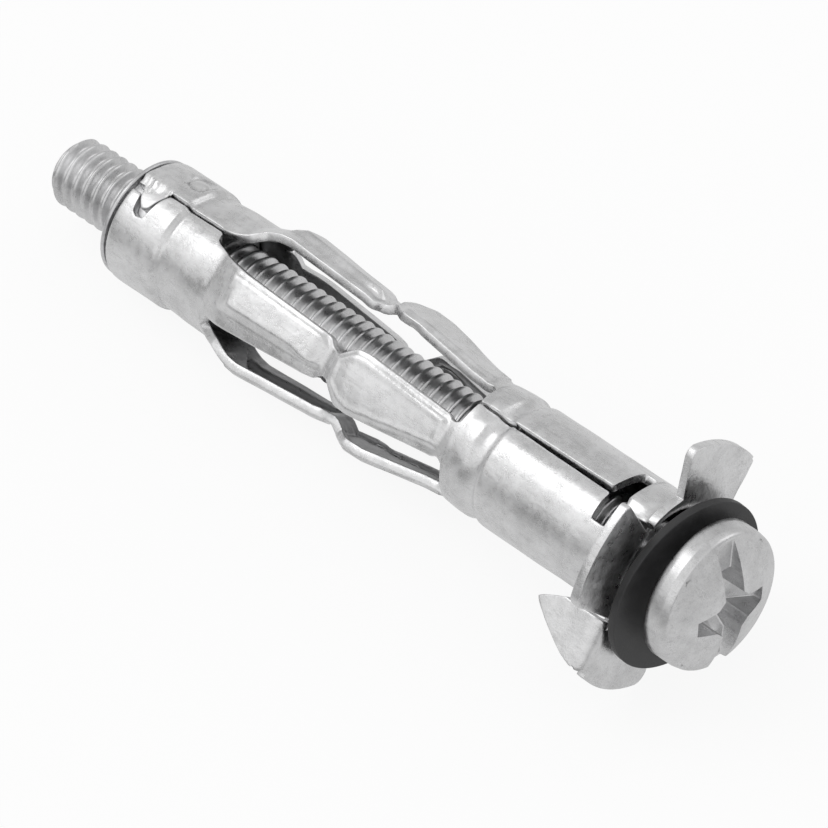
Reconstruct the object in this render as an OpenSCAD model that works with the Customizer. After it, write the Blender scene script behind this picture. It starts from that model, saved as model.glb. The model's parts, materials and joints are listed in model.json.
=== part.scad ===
// Hollow-wall anchor: a slotted sleeve rolled from one sheet, a flanged nut held
// in its tail, a loose washer and a pan-head machine screw through all of them.
// The anchor's own axis runs from its tail to the screw's head. It lies on its
// flange and on the tail of the sleeve, and the origin is on its axis, at the
// back face of the flange.

/* [Screw] */
// Diameter over the thread's crests
screw_d = 3.9; // [3.6:0.05:4.2]
// Length under the head
screw_len = 44.9; // [42:0.1:60]
// Length of the chamfer on the free end
screw_tip = 0.45; // [0.2:0.05:0.8]
// Distance from one crest of the thread to the next
thread_pitch = 0.7; // [0.5:0.05:1]
// Depth of the thread
thread_depth = 0.38; // [0.2:0.02:0.5]
// Gap from the flange's front face to the underside of the head
head_gap = 1.95; // [1.6:0.05:4]
// Diameter of the head
head_d = 7.9; // [7:0.1:9]
// Height of the head
head_h = 2.6; // [2.2:0.1:3.2]
// Radius of the rounding round the head's top
head_round = 1.5; // [0.8:0.1:2]
// Width of the driver slot
slot_w = 1.1; // [0.8:0.05:1.4]
// Depth of the driver slot
slot_depth = 1; // [0.6:0.05:1.4]
// Turn of the driver slot from upright, in degrees
slot_turn = -11.5; // [-90:0.5:90]
// Width of the cross recess over opposite arms
cross_span = 4.5; // [3.6:0.1:5]
// Width of each arm of the cross recess
cross_arm_w = 1.15; // [0.8:0.05:1.4]
// Depth of the cross recess
cross_depth = 1.9; // [1.2:0.1:2.2]

/* [Washer] */
// Diameter of the washer
washer_d = 9.8; // [9:0.1:12]
// Diameter of its hole
washer_bore = 5; // [4.6:0.1:6]
// Thickness of the washer
washer_t = 0.45; // [0.3:0.05:0.8]
// Lean of the loose washer to one side, in degrees
washer_lean = 4.5; // [0:0.5:5]

/* [Sleeve] */
// Diameter of the barrel
sleeve_d = 7; // [6.6:0.1:8]
// Thickness of the sheet
sheet_t = 0.5; // [0.4:0.05:0.6]
// Length of the barrel behind the flange
front_barrel_len = 12.2; // [9:0.1:20]
// Length of the front pads of the legs
front_pad_len = 8.4; // [7:0.1:12]
// Length of the rear pads of the legs
rear_pad_len = 8.7; // [7:0.1:12]
// Length of the barrel round the nut
rear_barrel_len = 7.1; // [6.5:0.1:9]
// Diameter over the crowns of the legs
bulge_d = 8.1; // [7.6:0.1:8.6]
// Diameter over the creases between the pads
waist_d = 6.95; // [6.8:0.05:7.2]
// Width of the openings between the legs
leg_gap = 2.8; // [2.4:0.1:3.2]
// Width of a leg at its crease
waist_w = 1.6; // [1.4:0.1:2.2]
// Width of the raised panel on each pad
panel_w = 2; // [1.4:0.1:2.3]
// Height of the raised panel
panel_lift = 0.12; // [0.05:0.01:0.2]
// Depth of the two ring grooves
groove_depth = 0.2; // [0.1:0.05:0.25]
// Width of the seam
seam_w = 0.12; // [0.08:0.02:0.3]
// Length of the window behind the flange
window_len = 0.9; // [0.6:0.1:2]
// Angle that the window covers, in degrees
window_angle = 70; // [40:5:80]
// Depth of the notch in the tail
notch_len = 1.6; // [1:0.1:2.5]

/* [Flange] */
// Diameter over the petals
flange_d = 14; // [13:0.1:16]
// Angle that each wide petal covers, in degrees
wide_petal = 61; // [50:1:64]
// Angle that each narrow petal covers, in degrees
narrow_petal = 50; // [40:1:56]
// Turn of the wide petals from the seam, in degrees
wide_turn = 127.5; // [120:0.5:140]
// Turn of the narrow petals from the seam, in degrees
narrow_turn = 42; // [36:0.5:50]
// Radius of the bend between barrel and flange
flange_bend = 0.35; // [0.2:0.05:0.6]
// Reach of the lip that joins the petals, from the barrel
lip_w = 0.6; // [0.5:0.05:1]
// Length of each spike behind the flange
spike_len = 3.7; // [2.5:0.1:5]

/* [Nut] */
// Length of the nut inside the sleeve
nut_len = 5.2; // [4.6:0.1:6]
// Diameter of the nut's flange
nut_flange_d = 6.8; // [6.5:0.05:7]
// Thickness of the nut's flange
nut_flange_t = 0.25; // [0.2:0.05:0.5]

/* [Hidden] */
$fn = 96;

running_gap = 0.05;             // between the thread and what it turns in
nut_seat_gap = 0.2;             // between the nut's flange and the sleeve's end
through = 1;                    // how far a cut runs past the face it opens

barrel_r = sleeve_d / 2;
bulge_r = bulge_d / 2;
waist_r = waist_d / 2;
neck_r = barrel_r - 0.12;       // barrel beside the legs
front_neck_r = barrel_r - 0.22; // root of the front pads
pad_end_r = waist_r + 0.12;     // tail pad where it meets the crease
flange_r = flange_d / 2;
lip_r = barrel_r + lip_w;

slot_front = -front_barrel_len;
waist_x = slot_front - front_pad_len;
slot_rear = waist_x - rear_pad_len;
sleeve_end = slot_rear - rear_barrel_len;

front_groove_lead = 1.6;        // from the legs to the front ring groove
rear_groove_lead = 3.7;         // from the legs to the rear one
groove_w = 1;
front_groove = slot_front + front_groove_lead;
rear_groove = slot_rear - rear_groove_lead;
groove_edge = 0.25;             // length of a groove's slopes
crown_w = 0.7;                  // length of a pad's crown
crown_rise = 1.6;               // length of the slope from the barrel to a crown
rear_pad_end = waist_x - 0.9;   // front end of the rear pads' panels
front_crown = waist_x + 1.4;    // rear end of the front pads' panels
front_pad_end = slot_front - 2.1;
end_round = 0.15;
slot_point = 1.1;               // length of the openings' pointed tails
root_r = 0.4;                   // radius at their front corners
bore_reach = 2;                 // from the axis to where cuts in the sheet start

// Outside of the sleeve from its tail to the flange's bend, as [x, radius]
outline = [
    [sleeve_end + end_round, barrel_r],
    [rear_groove, barrel_r],
    [rear_groove + groove_edge, barrel_r - groove_depth],
    [rear_groove + groove_w - groove_edge, barrel_r - groove_depth],
    [rear_groove + groove_w, neck_r],
    [slot_rear, neck_r],
    [slot_rear + crown_rise, bulge_r - 0.06],
    [slot_rear + crown_rise + crown_w, bulge_r],
    [rear_pad_end, pad_end_r],
    [waist_x - 0.35, waist_r],
    [waist_x + 0.15, waist_r],
    [waist_x + 0.6, bulge_r - 0.2],
    [front_crown, bulge_r],
    [waist_x + 2.7, bulge_r - 0.03],
    [front_pad_end, front_neck_r + 0.14],
    [slot_front - 1.1, front_neck_r],
    [slot_front, neck_r + 0.04],
    [slot_front + 0.9, barrel_r],
    [front_groove, barrel_r],
    [front_groove + groove_edge, barrel_r - groove_depth],
    [front_groove + groove_w - groove_edge, barrel_r - groove_depth],
    [front_groove + groove_w, barrel_r],
    [-flange_bend, barrel_r]
];

window_front = -1.9;
window_turn = -4.5;
tab_reach = 0.8;                // of the tab in front of the window, past the seam
notch_side = 0.9;               // from the seam to the side of the tail's notch

// The two lowest corners of the petals lie level
rim_chamfer = 0.25;
low_wide = wide_turn + wide_petal / 2;
low_narrow = narrow_turn + 180 - narrow_petal / 2;
lie_roll = 180 - (low_wide + low_narrow) / 2;
corner_angle = (low_narrow - low_wide) / 2;

// Spikes: a flap bent back from one side of each wide petal
spike_bend = 0.15;              // inside radius of its bend
spike_plane = 3.25;             // from the axis to its outer face
spike_tilt = 54;                // from its normal to the petal's edge
spike_in = 3.35;                // reach of its near end along that face
spike_out = 6.2;                // reach of its far end
spike_point = 4.1;              // reach of its point

head_x = sheet_t + head_gap;
shank_root = 0.5;               // length of the shank inside the head
washer_x = sheet_t + head_gap / 2;
washer_drop = washer_bore / 2 - screw_d / 2 - running_gap;

nut_front = sleeve_end + nut_len;
nut_back = sleeve_end - nut_seat_gap;
nut_r = barrel_r - sheet_t - running_gap;

// Lying still, the anchor rests on two petal corners and on its tail
corner_drop = flange_r * cos(corner_angle);
lie_tilt = min(
    atan((corner_drop - barrel_r) / (-sleeve_end - end_round)),
    atan((corner_drop - nut_flange_d / 2) / -nut_back)
);

function polar(angle, r) = [-r * cos(angle), -r * sin(angle)];
function profile(from, to, lift) = [
    for (p = outline) if (p[0] >= from && p[0] <= to) [p[1] + lift, p[0]]
];

// Turns what is drawn along +Z so that it lies along the anchor's axis
module along_axis() {
    rotate([0, 90, 0]) children();
}

// A ring sector from radius r0 to r1 and from x0 to x1, centred on a turn
module sector(turn, angle, r0, r1, x0, x1) {
    along_axis() rotate([0, 0, turn + 180 - angle / 2])
        rotate_extrude(angle = angle) translate([r0, x0]) square([r1 - r0, x1 - x0]);
}

// Tips the anchor back until its tail touches
module tipped() {
    rotate([0, -lie_tilt, 0]) children();
}

// Sets the whole anchor down as it lies
module lying() {
    tipped() rotate([lie_roll, 0, 0]) children();
}

module shell_profile() {
    polygon(concat(
        [[barrel_r - sheet_t, sleeve_end], [barrel_r - end_round, sleeve_end]],
        profile(sleeve_end, -flange_bend, 0),
        [for (i = [len(outline) - 1 : -1 : 0]) [outline[i][1] - sheet_t, outline[i][0]]]
    ));
}

module bend_profile() {
    translate([barrel_r + flange_bend, -flange_bend]) intersection() {
        difference() {
            circle(flange_bend + sheet_t);
            circle(flange_bend);
        }
        translate([-flange_bend - sheet_t, 0]) square(flange_bend + sheet_t);
    }
    translate([barrel_r + flange_bend, 0]) square([lip_w - flange_bend, sheet_t]);
}

module disc_profile() {
    polygon([
        [lip_r - 0.2, 0],
        [flange_r, 0],
        [flange_r, sheet_t - rim_chamfer],
        [flange_r - 1.5 * rim_chamfer, sheet_t],
        [lip_r - 0.2, sheet_t]
    ]);
}

module petal_sector(from, to) {
    polygon(concat(
        [[0, 0]],
        [for (i = [0 : 4]) polar(from + (to - from) * i / 4, 2 * flange_r)]
    ));
}

// The side of a wide petal that its spike is bent from
module spike_side(turn) {
    rotate(turn - wide_petal / 2 - spike_tilt)
        translate([-spike_plane + sheet_t + spike_bend, -2 * flange_r])
            square([4 * flange_r, 4 * flange_r]);
}

module petals() {
    intersection() {
        along_axis() rotate_extrude() disc_profile();
        along_axis() translate([0, 0, -through]) linear_extrude(sheet_t + 2 * through)
            for (half = [0, 180]) {
                narrow = narrow_turn + half;
                wide = wide_turn + half;
                petal_sector(narrow - narrow_petal / 2, narrow + narrow_petal / 2);
                intersection() {
                    petal_sector(wide - wide_petal / 2 - 8, wide + wide_petal / 2);
                    spike_side(wide);
                }
            }
    }
}

// A pointed flap behind the flange, with its bend, beside the petal at a turn
module spike(turn) {
    rotate([turn - wide_petal / 2 - spike_tilt, 0, 0]) {
        translate([0, 0, spike_plane - sheet_t]) linear_extrude(sheet_t) polygon([
            [-spike_len, -spike_point],
            [-spike_len * 0.94, -spike_point + 0.3],
            [-spike_len * 0.6, -spike_in],
            [-spike_bend, -spike_in],
            [-spike_bend, -spike_out],
            [-spike_len * 0.25, -spike_out + 0.2],
            [-spike_len * 0.7, -spike_point - 0.8]
        ]);
        translate([-spike_bend, -spike_in, spike_plane - sheet_t - spike_bend])
            rotate([90, 0, 0]) rotate_extrude(angle = 90)
                translate([spike_bend, 0]) square([sheet_t, spike_out - spike_in]);
    }
}

// One side of the opening between two legs, from its pointed tail to its round front
function slot_side(side, waist_side) = [
    [slot_rear - slot_point, 0],
    [slot_rear - slot_point / 10, side * 0.75],
    [slot_rear + slot_point / 2, side],
    [waist_x - 0.5, side],
    [waist_x - 0.1, waist_side],
    [waist_x + 0.6, waist_side],
    [waist_x + 1.5, side],
    [slot_front - 2 * root_r, side],
    [slot_front - root_r, side + root_r / 2],
    [slot_front, side - root_r / 2]
];

// The opening between two legs, widened at the creases and at its roots
module slot_cut(turn) {
    upper = slot_side(leg_gap / 2, waist_r * sin(45 - asin(waist_w / 2 / waist_r)));
    rotate([turn, 0, 0]) translate([0, 0, bore_reach]) linear_extrude(bulge_r) polygon(concat(
        upper,
        [for (i = [len(upper) - 1 : -1 : 1]) [upper[i][0], -upper[i][1]]]
    ));
}

// A raised panel on a pad from x0 to x1, as the layer between two lifts
module panel(turn, x0, x1, low, high) {
    angle = 2 * asin(panel_w / 2 / bulge_r);
    points = profile(x0, x1, high);
    back = profile(x0, x1, low);
    along_axis() rotate([0, 0, turn + 180 - angle / 2]) rotate_extrude(angle = angle)
        polygon(concat(points, [for (i = [len(back) - 1 : -1 : 0]) back[i]]));
}

module panels(low, high) {
    for (i = [0 : 3]) {
        panel(45 + 90 * i, slot_rear + crown_rise, rear_pad_end, low, high);
        panel(45 + 90 * i, front_crown, front_pad_end, low, high);
    }
}

// Seam, the notch at its tail and the window at its front
module seam() {
    translate([sleeve_end - through, -seam_w / 2, bore_reach])
        cube([through - sleeve_end, seam_w, flange_r]);
    translate([0, 0, bore_reach]) linear_extrude(barrel_r) polygon([
        [sleeve_end - through, notch_side], [sleeve_end + notch_len - 0.5, notch_side],
        [sleeve_end + notch_len, 0.1], [sleeve_end + notch_len + 0.2, -0.5],
        [sleeve_end + notch_len - 0.1, -0.85], [sleeve_end - through, -0.6]
    ]);
    sector(window_turn, window_angle, bore_reach, barrel_r + through,
        window_front - window_len, window_front);
    translate([window_front, -tab_reach, bore_reach])
        cube([2 * through - window_front, 2 * seam_w, flange_r]);
}

module sleeve() {
    color("silver") lying() difference() {
        union() {
            along_axis() rotate_extrude() {
                shell_profile();
                bend_profile();
            }
            petals();
            for (half = [0, 180]) spike(wide_turn + half);
            panels(-sheet_t / 2, panel_lift);
        }
        panels(-sheet_t - panel_lift, panel_lift - sheet_t);
        for (i = [0 : 3]) slot_cut(90 * i);
        seam();
    }
}

module nut() {
    groove_from = rear_groove - running_gap;
    groove_to = rear_groove + groove_w;
    color("lightgray") lying() along_axis() rotate_extrude() polygon([
        [screw_d / 2 + running_gap, nut_back - nut_flange_t],
        [nut_flange_d / 2 - 0.1, nut_back - nut_flange_t],
        [nut_flange_d / 2, nut_back - nut_flange_t + 0.1],
        [nut_flange_d / 2, nut_back],
        [nut_r, nut_back],
        [nut_r, groove_from],
        [nut_r - groove_depth, groove_from + 0.25],
        [nut_r - groove_depth, nut_front],
        [screw_d / 2 + running_gap, nut_front]
    ]);
}

module washer() {
    color("black") tipped() translate([washer_x, 0, -washer_drop])
        rotate([0, 0, -washer_lean]) translate([-washer_t / 2, 0, 0]) along_axis() difference() {
            cylinder(d = washer_d, h = washer_t);
            translate([0, 0, -through]) cylinder(d = washer_bore, h = washer_t + 2 * through);
        }
}

module head_profile() {
    intersection() {
        union() {
            translate([head_d / 2 - head_round, head_h - head_round]) circle(head_round);
            square([head_d / 2 - head_round, head_h]);
            square([head_d / 2, head_h - head_round]);
        }
        square([head_d, head_h]);
    }
}

module driver_recess() {
    top = head_h;
    rotate(slot_turn) {
        translate([-head_d, -slot_w / 2, top - slot_depth]) cube([2 * head_d, slot_w, head_h]);
        for (turn = [0, 90]) rotate([90, 0, turn]) translate([0, 0, -cross_arm_w / 2])
            linear_extrude(cross_arm_w) polygon([
                [-cross_span / 2, top + through], [-cross_span / 2, top],
                [-cross_span / 5, top - cross_depth], [cross_span / 5, top - cross_depth],
                [cross_span / 2, top], [cross_span / 2, top + through]
            ]);
    }
}

// Radius of the shank at a distance from its tip, within the chamfer's cone
function shank_r(z, r) = min(r, screw_d / 2 - screw_tip + z);

// The threaded shank. Its ridges are rings one pitch apart, in place of the fine helix.
module shank_profile() {
    ridges = floor(screw_len / thread_pitch);
    polygon(concat(
        [[0, 0]],
        [for (i = [0 : ridges - 1], half = [0, 1])
            let(z = (i + half / 2) * thread_pitch)
                [shank_r(z, screw_d / 2 - (1 - half) * thread_depth), z]],
        [
            [screw_d / 2 - thread_depth, ridges * thread_pitch],
            [screw_d / 2 - thread_depth, screw_len + shank_root],
            [0, screw_len + shank_root]
        ]
    ));
}

module screw() {
    color("silver") lying() {
        translate([head_x, 0, 0]) along_axis() difference() {
            rotate_extrude() head_profile();
            driver_recess();
        }
        translate([head_x - screw_len, 0, 0]) along_axis() rotate_extrude() shank_profile();
    }
}

screw();
washer();
sleeve();
nut();
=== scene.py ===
"""A hollow-wall anchor: rolled sheet sleeve, flanged nut, rubber washer and machine screw.

Every surface is a function of two parameters, worked out in millimetres round the anchor's
own axis and laid down in metres where the frame has its pieces.
"""

import json
import math

import bmesh
import bpy
import numpy as np
from mathutils import Matrix, Quaternion, Vector


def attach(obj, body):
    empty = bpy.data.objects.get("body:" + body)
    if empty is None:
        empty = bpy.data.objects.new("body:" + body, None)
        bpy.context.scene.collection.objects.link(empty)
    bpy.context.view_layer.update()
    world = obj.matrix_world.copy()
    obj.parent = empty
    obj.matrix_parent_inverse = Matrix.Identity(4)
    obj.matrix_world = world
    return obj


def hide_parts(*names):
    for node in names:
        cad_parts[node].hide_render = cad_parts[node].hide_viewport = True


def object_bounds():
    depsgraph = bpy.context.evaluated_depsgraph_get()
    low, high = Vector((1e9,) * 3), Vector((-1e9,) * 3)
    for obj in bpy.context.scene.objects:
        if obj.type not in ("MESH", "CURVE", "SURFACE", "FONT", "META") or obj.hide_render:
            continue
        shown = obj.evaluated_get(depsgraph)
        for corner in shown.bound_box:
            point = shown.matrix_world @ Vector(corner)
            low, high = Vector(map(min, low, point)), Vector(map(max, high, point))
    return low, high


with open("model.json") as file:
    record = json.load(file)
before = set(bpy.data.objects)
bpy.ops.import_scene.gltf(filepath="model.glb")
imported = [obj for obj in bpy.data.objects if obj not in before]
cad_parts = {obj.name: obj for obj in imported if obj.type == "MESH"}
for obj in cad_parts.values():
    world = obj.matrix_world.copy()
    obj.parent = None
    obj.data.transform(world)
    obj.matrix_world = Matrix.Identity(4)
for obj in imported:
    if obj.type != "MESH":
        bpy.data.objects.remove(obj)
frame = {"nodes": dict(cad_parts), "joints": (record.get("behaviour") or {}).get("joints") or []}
cad_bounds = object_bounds()

bl_info = {
    "name": "Hollow-wall anchor",
    "version": (1, 0, 0),
    "blender": (4, 5, 0),
    "location": "3D View > Sidebar > Anchor",
    "description": "Sleeve, nut, washer and screw of a hollow-wall anchor",
    "category": "Object",
}

MM = 0.001
FULL_TURN = 360.0
HALF_TURN = 180.0

# The anchor's axis, from the joint that the screw slides along
AXIS = Vector(next(j for j in frame["joints"] if j["name"] == "screw_feed")["axis"])
LEAN = math.atan2(AXIS.z, AXIS.x)
# Turn of the seam from the top, as the anchor lies on its petals
ROLL = 2.5


# ---------------------------------------------------------------- shapes


def reach(node):
    """Lowest and highest place of a node along the anchor's axis, in millimetres."""
    mesh = frame["nodes"][node].data
    flat = np.empty(len(mesh.vertices) * 3)
    mesh.vertices.foreach_get("co", flat)
    along = flat.reshape(-1, 3) @ np.array(AXIS) / MM
    return along.min(), along.max()


def eased(knots, soft=0.06):
    """A line through knots of (place, value), with its corners rounded.

    The straight line is averaged twice over a window of twice the softness."""
    at, value = np.array(knots, float).T
    step = 0.005
    half = max(1, round(soft / step))
    fine = np.arange(at[0] - 6 * soft, at[-1] + 6 * soft, step)
    line = np.pad(np.interp(fine, at, value), 2 * half, mode="edge")
    window = np.ones(2 * half + 1) / (2 * half + 1)
    line = np.convolve(np.convolve(line, window, "valid"), window, "valid")
    return lambda s: np.interp(s, fine, line)


def smooth(low, high, value):
    """0 below low, 1 above high, and a cubic between."""
    t = np.clip((value - low) / (high - low), 0, 1)
    return t * t * (3 - 2 * t)


def within(value, low, high):
    """How far a value lies inside a span: the lesser of its distances from the two ends."""
    return np.minimum(value - low, high - value)


def place(x, turn, r):
    """Points in metres at a place along the axis, a turn from the seam in degrees and a radius.

    The turn goes right-handed about the axis; the whole is rolled and leant as the anchor lies."""
    angle = np.radians(turn + ROLL)
    return lean(x, -r * np.sin(angle), r * np.cos(angle))


def lean(x, across, up):
    """Points in metres from places along, across and above the leaning axis."""
    x, across, up = np.broadcast_arrays(x, across, up)
    c, s = math.cos(LEAN), math.sin(LEAN)
    return np.stack([x * c - up * s, across, x * s + up * c], -1) * MM


def grid_faces(rows, columns, first=0, wrap=False):
    """Four-sided faces of a grid of points, row by row; wrap joins its last column to the first."""
    i = np.arange(rows - 1)[:, None]
    j = np.arange(columns if wrap else columns - 1)[None, :]
    k = (j + 1) % columns
    faces = [i * columns + j, i * columns + k, (i + 1) * columns + k, (i + 1) * columns + j]
    return np.stack(faces, -1).reshape(-1, 4) + first


def make_mesh(name, points, faces, weld=1e-6):
    """A mesh piece of points and faces, with points that coincide made one and no empty faces."""
    mesh = bpy.data.meshes.new(name)
    mesh.vertices.add(len(points))
    mesh.vertices.foreach_set("co", points.astype(np.float32).ravel())
    mesh.loops.add(faces.size)
    mesh.loops.foreach_set("vertex_index", faces.astype(np.int32).ravel())
    mesh.polygons.add(len(faces))
    mesh.polygons.foreach_set("loop_start", np.arange(0, faces.size, 4, dtype=np.int32))
    mesh.update(calc_edges=True)
    bm = bmesh.new()
    bm.from_mesh(mesh)
    bmesh.ops.remove_doubles(bm, verts=bm.verts, dist=weld)
    bmesh.ops.dissolve_degenerate(bm, dist=weld / 10, edges=bm.edges)
    bm.to_mesh(mesh)
    bm.free()
    mesh.polygons.foreach_set("use_smooth", np.ones(len(mesh.polygons), bool))
    mesh.validate()
    piece = bpy.data.objects.new(name, mesh)
    bpy.context.scene.collection.objects.link(piece)
    return piece


def revolve(profile, around):
    """Points and faces of a closed profile of (place, radius) turned about the axis."""
    x, r = np.array(profile, float).T
    turn = np.arange(around) * FULL_TURN / around
    points = place(x[:, None], turn[None, :], r[:, None])
    return points.reshape(-1, 3), grid_faces(len(x), around, wrap=True)


def rounded(corners, radius, steps=4):
    """A closed profile whose corners are each replaced by a short curve.

    Each curve is a quadratic one between points at the radius on either side of its corner."""
    middle = np.array(corners, float)
    before = np.roll(middle, 1, 0) - middle
    after = np.roll(middle, -1, 0) - middle
    before_len = np.linalg.norm(before, axis=1, keepdims=True)
    after_len = np.linalg.norm(after, axis=1, keepdims=True)
    start = middle + before / before_len * np.minimum(radius, before_len * 0.45)
    end = middle + after / after_len * np.minimum(radius, after_len * 0.45)
    t = np.linspace(0, 1, steps)[None, :, None]
    curve = (1 - t) ** 2 * start[:, None] + 2 * t * (1 - t) * middle[:, None] + t**2 * end[:, None]
    loop = curve.reshape(-1, 2)
    return np.vstack([loop, loop[:1]])


def sharpen(piece, angle):
    """Keeps edges sharper than an angle in degrees hard."""
    mesh = piece.data
    bm = bmesh.new()
    bm.from_mesh(mesh)
    limit = math.radians(angle)
    for edge in bm.edges:
        edge.smooth = len(edge.link_faces) != 2 or edge.calc_face_angle(0) < limit
    bm.to_mesh(mesh)
    bm.free()


def seat(piece, body, node, material):
    """Puts a finished piece on its body, in its node's place, with its material."""
    piece.data.materials.append(material)
    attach(piece, body)
    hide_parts(node)


# ---------------------------------------------------------------- sleeve

# Places along the axis are in millimetres from the flange's back face and grow towards the head.
# Past the bend they go on as a path length over the flange.
NUT_BACK, NUT_FRONT = reach("nut")
TAIL = NUT_BACK + 0.45
BARREL = 3.5
BEND = 0.35
BEND_END = BEND * (math.pi / 2 - 1)
# The flange counts as flat from here, a hair past the end of the bend
DISC_START = 0.2
RIM = 3.35
SHEET = 0.5

# Turns from the seam of the middles of the four strips that the slits divide the sleeve into,
# and from a middle to the strip's edges where the slits are shut
NEAR, FAR, UNDER, BACK = 45.0, -45.0, 135.0, 225.0
SHUT = 45.0
STRIP_COLUMNS = 23
SPIKE_COLUMNS = 22

# Radius of the sleeve's outer face along the middle of a leg
crown = eased([
    (TAIL, 3.44), (TAIL + 0.25, 3.49), (-33.05, 3.5), (-32.95, 3.27), (-32.1, 3.31), (-31.2, 3.37),
    (-29.3, 3.4), (-28.3, 3.75), (-27.7, 3.93), (-27.0, 4.0), (-21.75, 3.6), (-21.3, 3.5),
    (-20.6, 3.5), (-20.0, 3.9), (-18.9, 4.05), (-17.7, 4.0), (-13.9, 3.35), (-12.9, 3.28),
    (-12.2, 3.42), (-11.3, 3.5), (-10.7, 3.5), (-10.6, 3.38), (-10.2, 3.3), (-9.85, 3.33),
    (-9.7, 3.5), (-BEND, BARREL),
])
# 0 where the section is round, 1 where the leg's section is bent to twice the radius
flatness = eased([(-29.6, 0), (-28.2, 1), (-13.6, 1), (-12.2, 0)], 0.2)
leg_half = eased([
    (-29.0, 1.66), (-27.7, 1.64), (-21.75, 1.28), (-21.1, 1.2), (-20.75, 0.8), (-20.05, 0.78),
    (-19.1, 1.62), (-18.2, 1.7), (-13.2, 1.24), (-12.0, 1.24),
], 0.1)

# How far each slit has opened from shut, 0, to the leg's own width, 1
side_slot = eased([
    (-29.35, 0), (-29.1, 0.5), (-28.8, 0.95), (-28.4, 1), (-13.0, 1), (-12.65, 1.14), (-12.4, 1.1),
    (-12.16, 0.95), (-12.13, 0),
], 0.02)
near_slot = eased([
    (-30.5, 0), (-30.35, 0.55), (-30.1, 0.72), (-29.2, 1), (-13.0, 1), (-12.7, 1.16), (-12.4, 1.14),
    (-12.1, 0.95), (-12.07, 0),
], 0.02)
far_slot = eased([
    (-30.5, 0), (-29.9, 0.2), (-29.2, 0.62), (-28.6, 1), (-13.0, 1), (-12.5, 1.04), (-12.25, 0.9),
    (-12.13, 0.8), (-12.1, 0),
], 0.02)

# Turns of the sheet's two edges at the seam: a hook at the tail, a window behind the flange
SEAM = 0.9
near_seam = eased([
    (TAIL - 1, 13), (-35.75, 14), (-35.55, 30), (-35.2, 33), (-34.75, 31), (-34.55, 10), (-34.3, SEAM),
    (-11.0, SEAM), (-2.95, 2.4), (-2.83, 30.5), (-1.92, 30.5), (-1.8, 15), (0.1, 15.5),
    (0.45, 16.5), (RIM, 16.5),
], 0.04)
far_seam = eased([
    (TAIL - 1, 6), (-35.9, 6), (-35.6, 18), (-35.2, 25), (-34.85, 22), (-34.5, 4), (-34.25, -SEAM),
    (-11.0, -SEAM), (-2.95, -2.0), (-2.83, -39.5), (-1.92, -39.5), (-1.8, 8.5), (0.22, 8.5),
    (0.4, -22), (RIM, -22),
], 0.04)

# A narrow petal's straight side: its distance from the axis, and the turn at which it is nearest
CUT = 3.54
CUT_TURN = 124.6
# Turns of the free sides of the wide petal under the near strip and of the narrow one behind it
UNDER_SIDE = 158.0
BACK_SIDE = 197.0
# Radii of the petals' corners
NARROW_CORNER = 0.25
NEAR_CORNER = 0.3
FAR_CORNER = 0.6
UNDER_CORNER = 0.8
# 0 on the bend and 1 on the flange, for sides that are cut back and for sides that meet a fold
lip = eased([(0.34, 0), (0.5, 1)], 0.03)
spike_ramp = eased([(0.33, 0), (0.5, 1)], 0.02)

# A spike's fold: its distance from the axis, its radius, and the turn at which it is nearest
FOLD = 2.6
FOLD_R = 0.15
SPIKE_TURN = 43.0
# A spike's depth behind the flange, by the place along its fold
SPIKE_IN, SPIKE_OUT = 3.35, 6.2
spike_depth = eased([
    (SPIKE_IN - 1, 1.8), (SPIKE_IN, 2.2), (3.8, 3.3), (4.08, 3.76), (4.4, 3.46), (5.0, 2.66),
    (5.6, 1.72), (6.0, 1.0), (SPIKE_OUT, 0.3), (SPIKE_OUT + 1, 0.3),
], 0.05)
# The far spike is this share as deep, so that it stays behind its petal
FAR_SPIKE = 0.78

# Outline of a leg's pads: places, and how far they reach to either side of the leg's middle
LEG_R = 3.75
PAD_AT = [-28, -21.5, -20.4, -19, -18.2, -13.2]
PAD_LOW = [-1.36, -1.2, -0.4, -1.35, -1.42, -1.1]
PAD_HIGH = [0.68, 0.7, 0.4, 1.3, 1.5, 0.9]
PAD_RISE = 0.15
PAD_SLOPE = 0.22
REAR_PAD = (-28.0, -20.95)
FRONT_PAD = (-20.1, -12.75)
# Raised panel on a rear pad
PANEL = (-27.5, -21.2)
PANEL_LOW = -1.0
PANEL_FOOT = -0.2
# Sunken field on a front pad
FIELD = (-19.7, -13.1)
FIELD_MARGIN = 0.34
FIELD_SLOPE = 0.18
FIELD_DEPTH = 0.045

# Depth and height of the seam's worked edges, on the barrel and over the nut
PRESSED, PRESSED_NUT = 0.16, 0.04
PROUD, PROUD_NUT = 0.1, 0.16
# Ring pressed into the tail: place and turn of its middle, half its length and half its turn
CRIMP_AT, CRIMP_TURN = -34.1, -33.0
CRIMP_LONG, CRIMP_WIDE = 0.75, 13.0
CRIMP_DEPTH = 0.2
CRIMP_END = -33.4
WAVE = 0.006
FLUTTER = 0.02


def section(s, theta):
    """Radius of the sleeve's outer face at a path length and an angle from the leg's middle.

    It is the distance from the axis to an arc that has the crown's height and a longer radius."""
    high = crown(s)
    arc = high / (1 - 0.5 * flatness(s))
    turn = np.radians(theta)
    low = high - arc
    return low * np.cos(turn) + np.sqrt(arc**2 - (low * np.sin(turn)) ** 2)


def leg_angle(s):
    """Half the angle that a leg covers, from half its width."""
    high = crown(s)
    arc = high / (1 - 0.5 * flatness(s))
    half = leg_half(s)
    return np.degrees(np.arctan2(half, high - arc + np.sqrt(arc**2 - half**2)))


def disc_radius(s):
    """Radius of the flange at a path length past the bend."""
    return BARREL + BEND + np.maximum(s - DISC_START, 0)


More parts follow.
